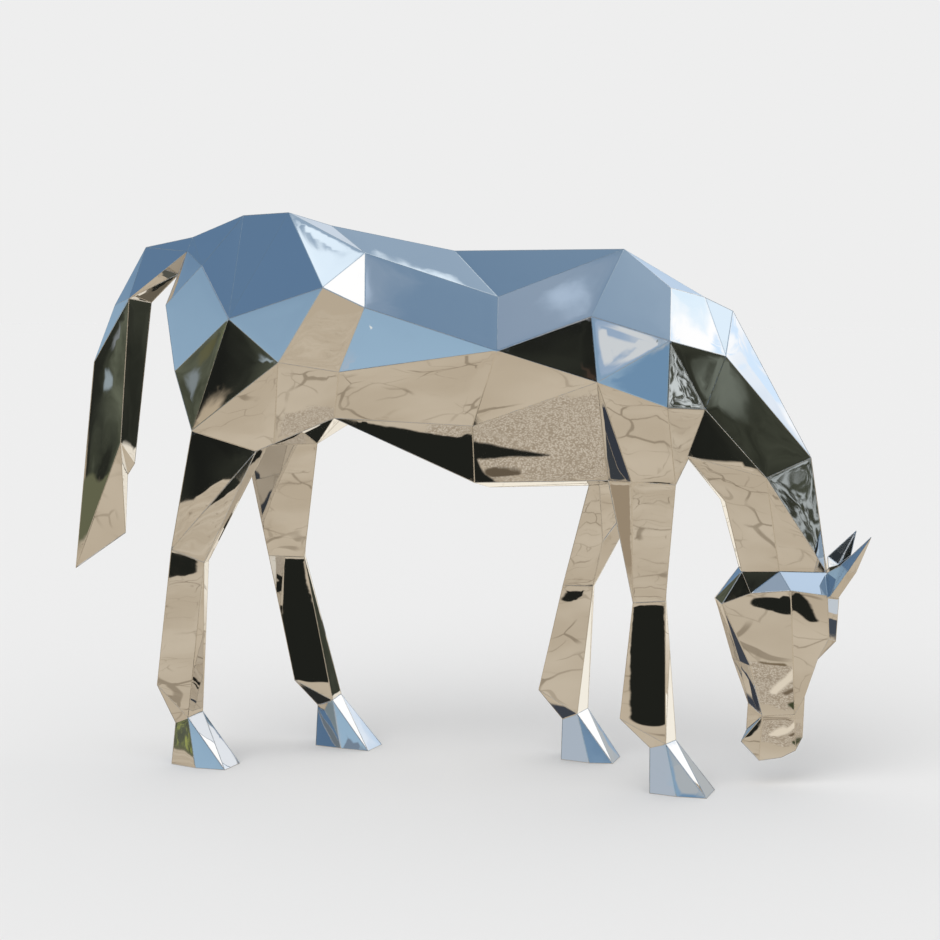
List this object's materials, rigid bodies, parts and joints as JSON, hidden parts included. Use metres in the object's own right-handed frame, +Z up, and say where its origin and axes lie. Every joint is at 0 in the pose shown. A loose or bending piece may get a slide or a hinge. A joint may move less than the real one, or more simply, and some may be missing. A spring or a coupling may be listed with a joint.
{
  "type": "faceted horse statue",
  "caption": "Life-size grazing horse made of flat triangular facets of mirror-polished stainless-steel sheet, welded into one work that stands on its four hooves.",
  "frame": {"origin": "on the ground, under the middle of the horse's bounding box", "axes": "+X towards the muzzle, +Y to the horse's left, +Z up"},
  "size_m": [2.532, 0.6318, 1.72],
  "materials": {
    "polished_steel": "mirror-polished stainless-steel sheet with ground and polished weld seams"
  },
  "bodies": {
    "root": {"horse": "polished_steel"}
  },
  "joints": []
}
